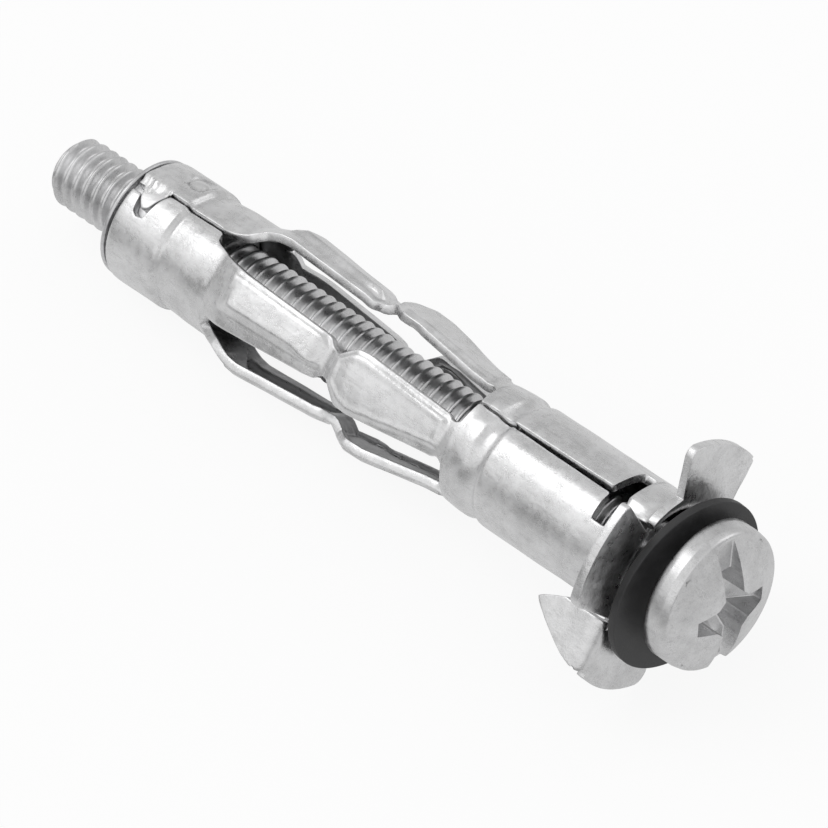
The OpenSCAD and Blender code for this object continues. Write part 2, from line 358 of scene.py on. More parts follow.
def line_turn(s, distance):
    """Turn between the nearest point of a straight line on the flange and where a radius meets it.

    It is the arc cosine of the line's distance from the axis over the radius."""
    return np.degrees(np.arccos(distance / np.maximum(disc_radius(s), distance)))


def corner(s, radius):
    """Angle by which a petal's side draws in near the rim, round a corner."""
    d = np.clip(s - (RIM - radius), 0, radius)
    return np.degrees((radius - np.sqrt(radius**2 - d**2)) / disc_radius(s))


def opened(s, shut, slot):
    """Angle of a strip's edge from its middle: one value where shut, the leg's where open."""
    part = slot(s)
    return shut * (1 - part) + leg_angle(s) * part


def near_edges(s):
    """Turns of the two edges of the strip in front of the seam, which ends in a narrow petal."""
    low = NEAR - opened(s, SHUT - near_seam(s), near_slot)
    high = np.minimum(NEAR + opened(s, SHUT, side_slot), CUT_TURN - line_turn(s, CUT))
    return low + corner(s, NARROW_CORNER), high - corner(s, NEAR_CORNER)


def far_edges(s):
    """Turns of the two edges of the strip behind the seam, which ends in a wide petal."""
    low = FAR - opened(s, SHUT, side_slot)
    high = FAR + opened(s, SHUT + far_seam(s), far_slot)
    fold = SPIKE_TURN - HALF_TURN + line_turn(s, FOLD)
    return low + spike_ramp(s) * (fold - (FAR - SHUT)), high - corner(s, FAR_CORNER)


def under_edges(s):
    """Turns of the two edges of the strip under the near one, which ends in a wide petal."""
    low = UNDER - opened(s, SHUT, side_slot)
    high = UNDER + opened(s, SHUT, side_slot) + lip(s) * (UNDER_SIDE - (UNDER + SHUT))
    fold = SPIKE_TURN + line_turn(s, FOLD)
    return low + spike_ramp(s) * (fold - (UNDER - SHUT)), high - corner(s, UNDER_CORNER)


def back_edges(s):
    """Turns of the two edges of the strip opposite the near one, which ends in a narrow petal."""
    low = BACK - opened(s, SHUT, side_slot) + lip(s) * (BACK_SIDE - (BACK - SHUT))
    high = np.minimum(BACK + opened(s, SHUT, side_slot), CUT_TURN + HALF_TURN - line_turn(s, CUT))
    return low + corner(s, NARROW_CORNER), high - corner(s, NARROW_CORNER)


STRIPS = {NEAR: near_edges, FAR: far_edges, UNDER: under_edges, BACK: back_edges}


def stations(step):
    """Path lengths whose rows lie about a step apart, measured along the edges that move most.

    The cost of a row grows with the slope of the sheet's radius and of every edge, up to a
    limit, and round the bend."""
    fine_step, slope_limit, bend_cost = 0.004, 9, 1.2
    fine = np.arange(TAIL, RIM, fine_step)
    radius = np.where(fine > DISC_START, disc_radius(fine), crown(fine))
    slopes = [np.gradient(crown(fine), fine)]
    for edges in STRIPS.values():
        slopes += [np.radians(np.gradient(e, fine)) * radius for e in edges(fine)]
    steepest = np.minimum(np.max(np.abs(slopes), 0), slope_limit)
    bend = 1 + bend_cost * ((fine > -BEND) & (fine < DISC_START))
    cost = np.concatenate([[0], np.cumsum(np.sqrt(1 + steepest**2) * bend)[:-1]]) * fine_step
    rows = np.interp(np.linspace(0, cost[-1], round(cost[-1] / step)), cost, fine)
    ends = [math.hypot(FOLD, e) - BARREL - BEND + DISC_START for e in (SPIKE_IN, SPIKE_OUT)]
    for end in ends + [RIM]:
        rows[np.argmin(np.abs(rows - end))] = end
    return rows


def leg_pads(s, theta):
    """Rise of a leg's two pads, level inside their outline and sloping down at its edge.

    The rear pad carries a raised panel, higher by a quadratic of the way across from its foot,
    and the front pad a sunken field that keeps a margin from its outline."""
    across = np.radians(theta) * LEG_R
    inside = within(across, np.interp(s, PAD_AT, PAD_LOW), np.interp(s, PAD_AT, PAD_HIGH))
    rear = smooth(0, PAD_SLOPE, np.minimum(inside, within(s, *REAR_PAD)))
    front = smooth(0, PAD_SLOPE, np.minimum(inside, within(s, *FRONT_PAD)))
    field = smooth(0, FIELD_SLOPE, np.minimum(inside - FIELD_MARGIN, within(s, *FIELD)))
    panel_high = np.interp(s, [-22.9, -22.0], [0.42, 0.62])
    panel = np.minimum(within(across, PANEL_LOW, panel_high), within(s, *PANEL))
    climb = across - PANEL_FOOT
    tilted = np.maximum(0.1 + 0.17 * climb + 0.07 * climb**2, 0) * smooth(-0.08, 0.26, panel)
    return PAD_RISE * np.maximum(rear, front) - FIELD_DEPTH * field + tilted


def seam_work(s, turn):
    """Rise along the seam: its near edge is pressed down and its far edge stands proud.

    Both fade over about a millimetre from the seam, and neither goes on over the legs."""
    off_seam = (turn + HALF_TURN) % FULL_TURN - HALF_TURN
    away = np.abs(off_seam) * np.radians(BARREL)
    front = smooth(-12.1, -11.4, s) * (1 - smooth(-1.1, -BEND - 0.05, s))
    over_nut = 1 - smooth(-30.7, -30.1, s)
    pressed = (PRESSED + (PRESSED_NUT - PRESSED) * over_nut) * (1 - smooth(0, 1.0, away))
    proud = (PROUD + (PROUD_NUT - PROUD) * over_nut) * (1 - smooth(0, 1.2, away))
    return np.maximum(front, over_nut) * np.where(off_seam > 0, -pressed, proud)


def tail_crimp(s, turn):
    """Rise of the ring pressed into the tail: a bell curve about an ellipse, ended at the crease."""
    out = np.hypot((s - CRIMP_AT) / CRIMP_LONG, (turn - CRIMP_TURN) / CRIMP_WIDE)
    return -CRIMP_DEPTH * np.exp(-(((out - 0.85) / 0.25) ** 2)) * (s < CRIMP_END)


def dressing(s, turn, theta):
    """Rise of the sheet's outer face: pads, worked seam, crimp and two faint crossing waves."""
    wave = np.sin(1.3 * s + np.radians(turn) * 2) + np.sin(2.1 * s - np.radians(turn) * 3 + 1)
    return leg_pads(s, theta) + seam_work(s, turn) + tail_crimp(s, turn) + WAVE * wave


def flutter(turn):
    """Slight wave of the flange along the axis, a sine three times round."""
    return FLUTTER * np.sin(np.radians(turn) * 3)


def sheet_strip(middle, edges, rows):
    """One quarter of the sleeve, from its tail to its petal, as a grid of points.

    Rows follow the path along the barrel, round the bend and out over the flange; columns run
    from one edge's turn to the other's."""
    low, high = edges(rows)
    part = np.linspace(0, 1, STRIP_COLUMNS)[None, :]
    turn = low[:, None] + (high - low)[:, None] * part
    s = rows[:, None]
    body = section(np.minimum(s, -BEND), turn - middle) + dressing(s, turn, turn - middle)
    angle = np.clip((s + BEND) / BEND, 0, np.pi / 2)
    x = np.where(s < -BEND, s, -BEND + BEND * np.sin(angle))
    r = np.where(s < -BEND, body, BARREL + BEND - BEND * np.cos(angle))
    r = r + np.maximum(s - BEND_END, 0)
    return place(x + flutter(turn) * np.clip(s, 0, 1), turn, r)


def spike_grid(start, length, rows):
    """A spike bent back from a petal's side: round a small fold, then a plate along the axis.

    Rows match the petal's, columns run from the spike's outline back to the fold."""
    radius = disc_radius(rows[rows > DISC_START])
    along = np.sqrt(np.maximum(radius**2 - FOLD**2, 0))
    along = along[within(along, SPIKE_IN, SPIKE_OUT) > -1e-6][:, None]
    depth = length * spike_depth(along) * np.linspace(1, 0, SPIKE_COLUMNS)[None, :]
    angle = np.clip(depth / FOLD_R, 0, np.pi / 2)
    straight = np.maximum(depth - FOLD_R * np.pi / 2, 0)
    x = -FOLD_R * (1 - np.cos(angle)) - straight
    normal = FOLD + FOLD_R * np.sin(angle)
    turn = start + np.degrees(np.arctan2(along, normal))
    return place(x + flutter(turn) * (1 - smooth(0, 0.3, depth)), turn, np.hypot(along, normal))


def sleeve_mesh(rows):
    """The four strips and two spikes of the sleeve's outer face, joined where they meet."""
    grids = [sheet_strip(middle, edges, rows) for middle, edges in STRIPS.items()]
    grids.append(spike_grid(SPIKE_TURN, 1.0, rows))
    grids.append(spike_grid(SPIKE_TURN - HALF_TURN, FAR_SPIKE, rows))
    faces, count = [], 0
    for grid in grids:
        faces.append(grid_faces(*grid.shape[:2], count))
        count += grid.shape[0] * grid.shape[1]
    points = np.vstack([grid.reshape(-1, 3) for grid in grids])
    return make_mesh("sleeve_sheet", points, np.vstack(faces))


def solidify(piece, thickness, edge):
    """Gives a sheet its wall, inwards, and rounds the edges of the cut.

    An edge is rounded less where it is short or the face beside it is narrow."""
    room = 1.6 * edge
    mesh = piece.data
    bm = bmesh.new()
    bm.from_mesh(mesh)
    weight = bm.edges.layers.float.new("bevel_weight_edge")
    for border in (e for e in bm.edges if e.is_boundary):
        length = max(border.calc_length(), 1e-9)
        width = border.link_faces[0].calc_area() / length
        border[weight] = min(1.0, min(width, length) / room)
    bm.to_mesh(mesh)
    bm.free()
    wall = piece.modifiers.new("Wall", "SOLIDIFY")
    wall.thickness = thickness
    wall.offset = -1
    wall.use_even_offset = False
    wall.material_offset = 1
    round_off = piece.modifiers.new("Edges", "BEVEL")
    round_off.width = edge
    round_off.segments = 2
    round_off.limit_method = "WEIGHT"
    round_off.use_clamp_overlap = False
    normals = piece.modifiers.new("Normals", "WEIGHTED_NORMAL")
    normals.keep_sharp = True


# ---------------------------------------------------------------- nut and washer

NUT_LIP = 0.25
NUT_LIP_R = 3.4
NUT_BODY_R = 2.95
NUT_NECK_R = 2.75
# The nut's shoulder tapers from its body to its neck between these places
SHOULDER = (-33.05, -32.8)

WASHER_R = 4.9
WASHER_BORE = 2.5
# The washer's middle hangs off the screw's axis and leans out of square with it
WASHER_AT = 1.475
WASHER_DROP = 0.5
WASHER_LEAN = 4.5
WASHER_WARP = 0.03


def nut_mesh(bore):
    """The nut: a rounded section of lip, body and neck turned about the axis."""
    lip_front = NUT_BACK + NUT_LIP
    corners = [(NUT_BACK, bore), (NUT_FRONT, bore), (NUT_FRONT, NUT_NECK_R),
               (SHOULDER[1], NUT_NECK_R), (SHOULDER[0], NUT_BODY_R), (lip_front, NUT_BODY_R),
               (lip_front, NUT_LIP_R), (NUT_BACK, NUT_LIP_R)]
    points, faces = revolve(rounded(corners, 0.1), 128)
    return make_mesh("nut_bush", points, faces[:, ::-1])


def washer_mesh(thickness):
    """The washer: a rounded section turned about its own axis, leant and dropped on the screw.

    It is warped along its axis by a sine twice round that grows with the square of the radius."""
    half = thickness / 2
    corners = [(-half, WASHER_BORE), (half, WASHER_BORE), (half, WASHER_R), (-half, WASHER_R)]
    along, r = rounded(corners, 0.06).T
    turn = np.linspace(0, 2 * np.pi, 161)[None, :-1]
    r = r[:, None]
    x = along[:, None] + WASHER_WARP * np.sin(2 * turn + 0.6) * (r / WASHER_R) ** 2
    side, up = -r * np.sin(turn), r * np.cos(turn)
    c, s = math.cos(math.radians(WASHER_LEAN)), math.sin(math.radians(WASHER_LEAN))
    points = lean(x * c + side * s + WASHER_AT, -x * s + side * c, up - WASHER_DROP)
    faces = grid_faces(len(along), turn.size, wrap=True)
    return make_mesh("rubber_washer", points.reshape(-1, 3), faces[:, ::-1])


# ---------------------------------------------------------------- screw

SCREW_TIP, HEAD_TOP = reach("screw")
PITCH = 0.7
CREST = 1.95
ROOT = 1.56
TIP_R = 1.5

HEAD_BACK = 2.45
HEAD_R = 3.95
# The head's top falls to a rounded edge; it is struck a little askew, and stands just under
# the solid's top
HEAD_EDGE = 3.76
EDGE_DROP = 0.45
DOME = 0.07
HEAD_TILT = 0.067
TILT_TOWARDS = (0.86, 0.51)
TOP_GAP = 0.02
# Rings of the head's side and bearing face: share of the rim's radius, and place
HEAD_RINGS = [(1.0, 3.2), (1.0, 2.9), (1.0, HEAD_BACK + 0.12), (0.97, HEAD_BACK), (0.3, HEAD_BACK),
              (0.0, HEAD_BACK)]

# The recess: a slot with a pocket along it and two arms across it. Floors are depths from the top,
# and WALL is how far a wall leans in on its way down.
SLOT_TURN = -11.5
HALF_SLOT = 0.66
SLOT_REACH = 1.75
SLOT_FLOOR = 1.2
ARM_MIDDLE = -0.2
ARM_SPAN = 2.26
HALF_ARM = 0.6
ARM_END_HALF = 0.43
ARM_END_FLOOR = 0.75
CROSS_FLOOR = 2.1
WALL = 0.02


def thread_radius(phase):
    """Radius of a rolled thread at a share of its pitch: straight flanks, rounded crest and root."""
    from_crest = np.abs(phase - np.round(phase)) * 2
    return CREST - (CREST - ROOT) * smooth(0.06, 0.9, from_crest) ** 0.9


def thread_grid(tip, end, per_pitch, around):
    """The screw's thread as a grid whose rows run along the helix.

    A row starts each turn one pitch further on, so the crest is one unbroken row. The tip is a
    cone of 45 degrees, and past either end the rows close in on the axis as flat ends."""
    rows = np.arange(math.floor((tip - 2 * PITCH) / PITCH * per_pitch),
                     math.ceil((end + PITCH) / PITCH * per_pitch) + 1)
    turn = np.arange(around)[None, :] / around
    share = rows[:, None] / per_pitch + turn
    x = share * PITCH
    r = np.minimum(thread_radius(share - turn), np.maximum(TIP_R + x - tip, 0.05))
    closing = CREST / PITCH * 1.05
    past = np.maximum(tip - x, 0) + np.maximum(x - end, 0)
    r = np.maximum(np.where(past > 0, np.minimum(r, TIP_R - closing * past), r), 0)
    points = place(np.clip(x, tip, end), turn * FULL_TURN, r)
    i = np.arange(len(rows) - 1 - per_pitch)
    last = around - 1
    joint = np.stack([i * around + last, (i + per_pitch) * around,
                      (i + 1 + per_pitch) * around, (i + 1) * around + last], -1)
    return points.reshape(-1, 3), np.vstack([grid_faces(len(rows), around), joint])


def head_height(u, v):
    """Place along the axis of the head's top: a shallow dome, struck a little askew.

    The dome falls with the square of the radius; past its edge a quarter ellipse rolls over."""
    r = np.hypot(u, v)
    inner = np.minimum(r, HEAD_EDGE) / np.maximum(r, 1e-9)
    over = np.clip((r - HEAD_EDGE) / (HEAD_R - HEAD_EDGE), 0, 1)
    dome = DOME * (inner * r) ** 2
    askew = HEAD_TILT * inner * (TILT_TOWARDS[0] * u + TILT_TOWARDS[1] * v)
    return HEAD_TOP - TOP_GAP - dome - askew - EDGE_DROP * (1 - np.sqrt(1 - over**2))


def cut_into(top, inside, floor):
    """A pocket's surface: its floor where the place is inside, curving up against the walls."""
    fillet = 0.06 * (1 - smooth(0, 0.1, inside)) ** 2
    return np.where(inside > 0, np.minimum(floor + fillet, top), top)


def flared(a, b):
    """Moves a cross arm's straight sides out towards the middle, and all else with them.

    A side HALF_ARM from the arm's middle goes to the arm's own half width at that run, which
    grows with the way in from the arm's end and again where the arms meet."""
    run = np.abs(b)
    half = ARM_END_HALF + 0.23 * np.maximum(ARM_SPAN - run, 0) + 0.3 * (1 - smooth(0.6, 1.15, run))
    half = HALF_ARM + (half - HALF_ARM) * (1 - smooth(ARM_SPAN, ARM_SPAN + 1, run))
    off, still = np.abs(a - ARM_MIDDLE), 2.4
    beyond = half + (off - HALF_ARM) * (still - half) / (still - HALF_ARM)
    moved = np.where(off < HALF_ARM, off * half / HALF_ARM, np.where(off < still, beyond, off))
    return ARM_MIDDLE + np.sign(a - ARM_MIDDLE) * moved


def recess(a, b, top):
    """Place along the axis of the head's top with its recess cut in.

    It is the lowest of a flat slot, a pocket along the slot and two arms across it, and the
    pocket and the arms slope down to the middle."""
    slope = CROSS_FLOOR / ARM_SPAN
    in_slot, along_slot = HALF_SLOT - np.abs(b), SLOT_REACH - np.abs(a)
    in_arm, along_arm = HALF_ARM - np.abs(a - ARM_MIDDLE), ARM_SPAN - np.abs(b)
    pocket = np.minimum(SLOT_FLOOR + along_slot * slope, CROSS_FLOOR)
    arm = np.minimum(ARM_END_FLOOR + along_arm * slope, CROSS_FLOOR)
    cuts = [cut_into(top, in_slot, HEAD_TOP - SLOT_FLOOR),
            cut_into(top, np.minimum(in_slot, along_slot), HEAD_TOP - pocket),
            cut_into(top, np.minimum(in_arm, along_arm), HEAD_TOP - arm)]
    return np.min(cuts, 0)


def head_grid(step):
    """The head's top as a square grid lined up with its slot and folded out to a round rim.

    Lines near the middle stay straight, so the walls of the slot and of the cross are crisp;
    towards the rim the square's sides swell into the circle."""
    edges_a = (ARM_MIDDLE - HALF_ARM, ARM_MIDDLE + HALF_ARM, -SLOT_REACH, SLOT_REACH)
    edges_b = (-HALF_SLOT, HALF_SLOT, -ARM_SPAN, ARM_SPAN)
    lines = []
    for edges in (edges_a, edges_b):
        marks = np.array([edge + w for edge in edges for w in (-WALL, 0, WALL)])
        line = np.arange(-HEAD_R, HEAD_R + step / 2, step)
        line = line[np.min(np.abs(line[:, None] - marks[None, :]), 1) > 0.4 * step]
        lines.append(np.unique(np.concatenate([line, marks])))
    a, b = np.meshgrid(*lines, indexing="ij")
    square = np.maximum(np.abs(a), np.abs(b))
    length = np.maximum(np.hypot(a, b), 1e-9)
    scale = 1 + smooth(0.62, 0.95, square / HEAD_R) * (square / length - 1)
    u, v = flared(a, b) * scale, b * scale
    x = recess(a, b, head_height(u, v))
    tilt = math.radians(SLOT_TURN)
    up = u * math.cos(tilt) - v * math.sin(tilt)
    side = u * math.sin(tilt) + v * math.cos(tilt)
    return lean(x, -side, up).reshape(-1, 3), grid_faces(*a.shape), a.shape


def head_surface():
    """The head: its top grid, closed by a side and a bearing face that follow the grid's rim."""
    points, faces, shape = head_grid(0.055)
    index = np.arange(len(points)).reshape(shape)
    rim = np.concatenate([index[0, :-1], index[:-1, -1], index[-1, :0:-1], index[:0:-1, 0]])
    outer = points[rim]
    axis = np.array(AXIS)
    along = (outer @ axis)[:, None]
    around = outer - along * axis
    rings = [around * share + np.minimum(along, x * MM) * axis for share, x in HEAD_RINGS]
    count = len(rim)
    chain = [rim] + [len(points) + k * count + np.arange(count) for k in range(len(rings))]
    sides = [np.stack([top, np.roll(top, -1), np.roll(below, -1), below], -1)
             for top, below in zip(chain[:-1], chain[1:])]
    return np.vstack([points] + rings), np.vstack([faces] + sides)


# ---------------------------------------------------------------- materials


def cleared(holder):
    """The node tree of a material or a world, with nothing in it."""
    holder.use_nodes = True
    holder.node_tree.nodes.clear()
    return holder.node_tree


def add_node(tree, kind, **settings):
    """A new shader node of a kind, with its settings."""
    node = tree.nodes.new("ShaderNode" + kind)
    for name, value in settings.items():
        setattr(node, name, value)
    return node


def feed(tree, socket, value):
    """Links another socket to this one, or sets this one to a number, vector or colour."""
    if isinstance(value, bpy.types.NodeSocket):
        tree.links.new(value, socket)
    else:
        socket.default_value = value


def noise(tree, vector, scale, detail=2.0, rough=0.5):
    """Noise of so many patches to a millimetre, on coordinates in millimetres."""
    node = add_node(tree, "TexNoise")
    feed(tree, node.inputs["Vector"], vector)
    feed(tree, node.inputs["Scale"], scale)
    feed(tree, node.inputs["Detail"], detail)
    feed(tree, node.inputs["Roughness"], rough)
    return node.outputs["Fac"]


def ramp(tree, value, low, high, start, end):
    """Maps a value from one range to another, clamped."""
    node = add_node(tree, "MapRange")
    feed(tree, node.inputs["Value"], value)
    feed(tree, node.inputs["From Min"], low)
    feed(tree, node.inputs["From Max"], high)
    feed(tree, node.inputs["To Min"], start)
    feed(tree, node.inputs["To Max"], end)
    return node.outputs["Result"]


def combine(tree, kind, *values):
    """A chain of math nodes of one kind over values that are each a socket or a number."""
    total = values[0]
    for value in values[1:]:
        node = add_node(tree, "Math", operation=kind)
        feed(tree, node.inputs[0], total)
        feed(tree, node.inputs[1], value)
        total = node.outputs[0]
    return total


# Numbers of a mix node's two colour inputs and of its colour output
MIX_FIRST, MIX_SECOND, MIX_OUT = 6, 7, 2


def mixed(tree, share, first, second):
    """A colour between two, each a socket or a colour with its alpha."""
    node = add_node(tree, "Mix", data_type="RGBA")
    feed(tree, node.inputs[0], share)
    feed(tree, node.inputs[MIX_FIRST], first)
    feed(tree, node.inputs[MIX_SECOND], second)
    return node.outputs[MIX_OUT]


def grey(level):
    """A neutral colour with its alpha."""
    return (level, level, level, 1)


def bumped(tree, shader, height, depth):
    """Raises a shader's surface by a height of so many metres to one."""
    node = add_node(tree, "Bump")
    feed(tree, node.inputs["Height"], height)
    feed(tree, node.inputs["Distance"], depth)
    feed(tree, shader.inputs["Normal"], node.outputs["Normal"])


def millimetres(tree):
    """The object's own coordinates in millimetres."""
    where = add_node(tree, "TexCoord")
    scale = add_node(tree, "Mapping")
    feed(tree, scale.inputs["Vector"], where.outputs["Object"])
    feed(tree, scale.inputs["Scale"], (1 / MM,) * 3)
    return scale.outputs["Vector"]


def split(tree, vector, axis):
    """One part, X, Y or Z, of a vector."""
    node = add_node(tree, "SeparateXYZ")
    feed(tree, node.inputs[0], vector)
    return node.outputs[axis]


def from_axis(tree, vector):
    """Distance of a point from the anchor's axis: the length of its cross product with it."""
    across = add_node(tree, "VectorMath", operation="CROSS_PRODUCT")
    feed(tree, across.inputs[0], vector)
    feed(tree, across.inputs[1], AXIS)
    length = add_node(tree, "VectorMath", operation="LENGTH")
    feed(tree, length.inputs[0], across.outputs[0])
    return length.outputs["Value"]


def new_finish(name):
    """A new material with its tree and its main shader."""
    material = bpy.data.materials.new(name)
    tree = cleared(material)
    out = add_node(tree, "OutputMaterial")
    shader = add_node(tree, "BsdfPrincipled")
    feed(tree, out.inputs["Surface"], shader.outputs[0])
    return material, tree, shader


def inside_painted_shade(tree, vector, colour, shade_colour):
    """The plate's colour outside, and painted shade inside: a darker colour from the flange back into
    the barrel.

    The spikes, further from the axis than the barrel, keep the plate's own colour."""
    x = split(tree, vector, "X")
    outside = ramp(tree, from_axis(tree, vector), 3.5, 3.8, 0.0, 1.0)
    spike = combine(tree, "MULTIPLY", outside, ramp(tree, x, -9.0, -8.0, 0.0, 1.0))
    front = ramp(tree, x, -1.2, -0.6, 0.0, 1.0)
    return mixed(tree, combine(tree, "MAXIMUM", spike, front), (*shade_colour, 1), (*colour, 1))


def plated(name, colour, rough, grain, depth, shade_colour=None):
    """Bright zinc plate: clear metal with cloudy tone, fine grain, pores and rubbed spots.

    The tone is a product of noises from half a patch per millimetre to the grain's own number."""
    material, tree, shader = new_finish(name)
    vector = millimetres(tree)
    drawn = add_node(tree, "Mapping")
    feed(tree, drawn.inputs["Vector"], vector)
    feed(tree, drawn.inputs["Scale"], (0.12, 1.0, 1.0))
    feed(tree, drawn.inputs["Rotation"], (0, 0, 0.35))
    cloud = noise(tree, vector, 0.5, 3.0, 0.62)
    mottle = noise(tree, vector, 2.4, 3.0, 0.6)
    fine = noise(tree, vector, grain, 2.0, 0.6)
    rubbed = ramp(tree, noise(tree, vector, 0.8), 0.52, 0.66, 0.0, 1.0)
    speckle = combine(tree, "MULTIPLY", rubbed, ramp(tree, fine, 0.3, 0.6, -0.15, 0.05))
    tone = combine(
        tree, "MULTIPLY",
        ramp(tree, cloud, 0.35, 0.6, 0.84, 1.0),
        ramp(tree, mottle, 0.28, 0.62, 0.88, 1.0),
        ramp(tree, noise(tree, vector, 7.0, 1.0), 0.2, 0.32, 0.93, 1.0),
        ramp(tree, noise(tree, drawn.outputs["Vector"], 6.0), 0.3, 0.42, 0.9, 1.0),
        combine(tree, "ADD", speckle, ramp(tree, fine, 0.3, 0.7, 0.9, 1.03)),
    )
    # Given a shade colour, the barrel's inside takes it as painted shade
    bright = (*colour, 1) if shade_colour is None else inside_painted_shade(tree, vector, colour, shade_colour)
    feed(tree, shader.inputs["Base Color"], mixed(tree, tone, grey(0), bright))
    feed(tree, shader.inputs["Metallic"], 1.0)
    roughness = combine(tree, "ADD", ramp(tree, mottle, 0.3, 0.7, rough - 0.05, rough + 0.07),
                        ramp(tree, cloud, 0.3, 0.7, -0.03, 0.05))
    feed(tree, shader.inputs["Roughness"], roughness)
    worn = combine(tree, "ADD", combine(tree, "MULTIPLY", rubbed, 1.6), 0.9)
    height = combine(tree, "ADD", combine(tree, "MULTIPLY", fine, worn),
                     combine(tree, "MULTIPLY", mottle, 3.4))
    bumped(tree, shader, height, depth)
    return material


def rubber(name, colour):
    """Matt black rubber with a faint grain, and dust caught here and there."""
    material, tree, shader = new_finish(name)
    vector = millimetres(tree)
    patch = noise(tree, vector, 1.2, 3.0, 0.6)
    dust = ramp(tree, noise(tree, vector, 9.0, 1.0), 0.72, 0.78, 0.0, 0.35)
    dark, light = [(*(share * c for c in colour), 1) for share in (0.75, 1.3)]
    clean = mixed(tree, ramp(tree, patch, 0.3, 0.7, 0.0, 1.0), dark, light)
    feed(tree, shader.inputs["Base Color"], mixed(tree, dust, clean, grey(0.12)))
    feed(tree, shader.inputs["Roughness"], ramp(tree, patch, 0.3, 0.7, 0.42, 0.55))
    feed(tree, shader.inputs["Specular IOR Level"], 0.5)
    bumped(tree, shader, noise(tree, vector, 14.0, 3.0, 0.6), 0.000012)
    return material


# ---------------------------------------------------------------- stage

# The view: place, aim and length of lens in millimetres, roll in degrees
CAMERA_PLACE = (159.5717, -175.2055, 304.8557)
CAMERA_AIM = (-16.607, -0.6325, -1.8009)
CAMERA_ROLL = -1.41
CAMERA_LENS = 336.96

# Radii of the round floor and of the small disc that closes its middle, in metres
FLOOR_R = 3.0
FLOOR_MIDDLE = 0.001
FLOOR_SIDES = 64

# Brightness of the room by the height of a direction, 0 level and 1 straight up
FRONT_ROOM = [(0.0, 0.32), (0.12, 0.36), (0.3, 0.86), (0.5, 1.06), (0.75, 0.88), (1.0, 0.68)]
BACK_ROOM = [(0.0, 0.58), (0.2, 0.6), (0.45, 0.62), (0.7, 0.74), (1.0, 0.7)]

# Soft square lamps: name, place and side in metres, power in watts
LAMPS = [("key", (-0.35, -0.15, 0.55), 0.35, 0.5), ("side", (0.15, 0.5, 0.35), 0.3, 0.2)]


def looking(spot, aim):
    """Placing of a camera or lamp at a spot, turned to an aim with its top upwards."""
    turn = (aim - spot).to_track_quat("-Z", "Y")
    return Matrix.Translation(spot) @ turn.to_matrix().to_4x4()


def set_camera():
    """The view down onto the anchor from its head's side."""
    data = bpy.data.cameras.new("View")
    data.lens = CAMERA_LENS
    data.sensor_width = 36
    data.clip_start, data.clip_end = 0.01, 20
    camera = bpy.data.objects.new("View", data)
    bpy.context.scene.collection.objects.link(camera)
    roll = Quaternion((0, 0, 1), math.radians(CAMERA_ROLL)).to_matrix().to_4x4()
    camera.matrix_world = looking(Vector(CAMERA_PLACE) * MM, Vector(CAMERA_AIM) * MM) @ roll
    bpy.context.scene.camera = camera


def floor_material(seen):
    """Pale floor: white to the eye, with part of its own shade kept, and greyer in gloss.

    What gloss shows of it darkens further out in front, as a floor does away from the lamps."""
    material = bpy.data.materials.new("pale_floor")
    tree = cleared(material)
    out = add_node(tree, "OutputMaterial")
    diffuse = add_node(tree, "BsdfDiffuse")
    feed(tree, diffuse.inputs["Color"], grey(0.95))
    glow = add_node(tree, "Emission")
    feed(tree, glow.inputs["Color"], grey(1.0))
    rays = add_node(tree, "LightPath")
    direct = combine(tree, "MULTIPLY", rays.outputs["Is Camera Ray"], seen)
    gloss = combine(tree, "MULTIPLY", rays.outputs["Is Glossy Ray"], 0.8)
    in_gloss = ramp(tree, split(tree, millimetres(tree), "Y"), -50, -16, 0.34, 0.72)
    shown = combine(tree, "MAXIMUM", rays.outputs["Is Camera Ray"], in_gloss)
    feed(tree, glow.inputs["Strength"], shown)
    both = add_node(tree, "MixShader")
    feed(tree, both.inputs["Fac"], combine(tree, "MAXIMUM", direct, gloss))
    feed(tree, both.inputs[1], diffuse.outputs[0])
    feed(tree, both.inputs[2], glow.outputs[0])
    feed(tree, out.inputs["Surface"], both.outputs[0])
    return material


def set_floor(seen):
    """A wide round floor at the anchor's lowest point: a ring, and a small disc in its middle."""
    turn = np.arange(FLOOR_SIDES) * 2 * np.pi / FLOOR_SIDES
    ring = np.stack([np.cos(turn), np.sin(turn), np.zeros(FLOOR_SIDES)], -1)
    points = np.vstack([ring * FLOOR_R, ring * FLOOR_MIDDLE]) + (0, 0, cad_bounds[0].z)
    piece = make_mesh("floor", points, grid_faces(2, FLOOR_SIDES, wrap=True), 1e-9)
    bm = bmesh.new()
    bm.from_mesh(piece.data)
    inner = [e for e in bm.edges if e.is_boundary and e.verts[0].co.length < FLOOR_R / 2]
    bmesh.ops.contextual_create(bm, geom=inner)
    bmesh.ops.recalc_face_normals(bm, faces=bm.faces)
    bm.to_mesh(piece.data)
    bm.free()
    piece.data.materials.append(floor_material(seen))


def room_light(tree, height, stops):
    """Brightness of one side of the room, by the height of a direction."""
    node = add_node(tree, "ValToRGB")
    first, last = node.color_ramp.elements
    first.position, last.position = stops[0][0], stops[-1][0]
    first.color, last.color = grey(stops[0][1]), grey(stops[-1][1])
    for at, level in stops[1:-1]:
        node.color_ramp.elements.new(at).color = grey(level)
    feed(tree, node.inputs[0], height)
    return node.outputs[0]


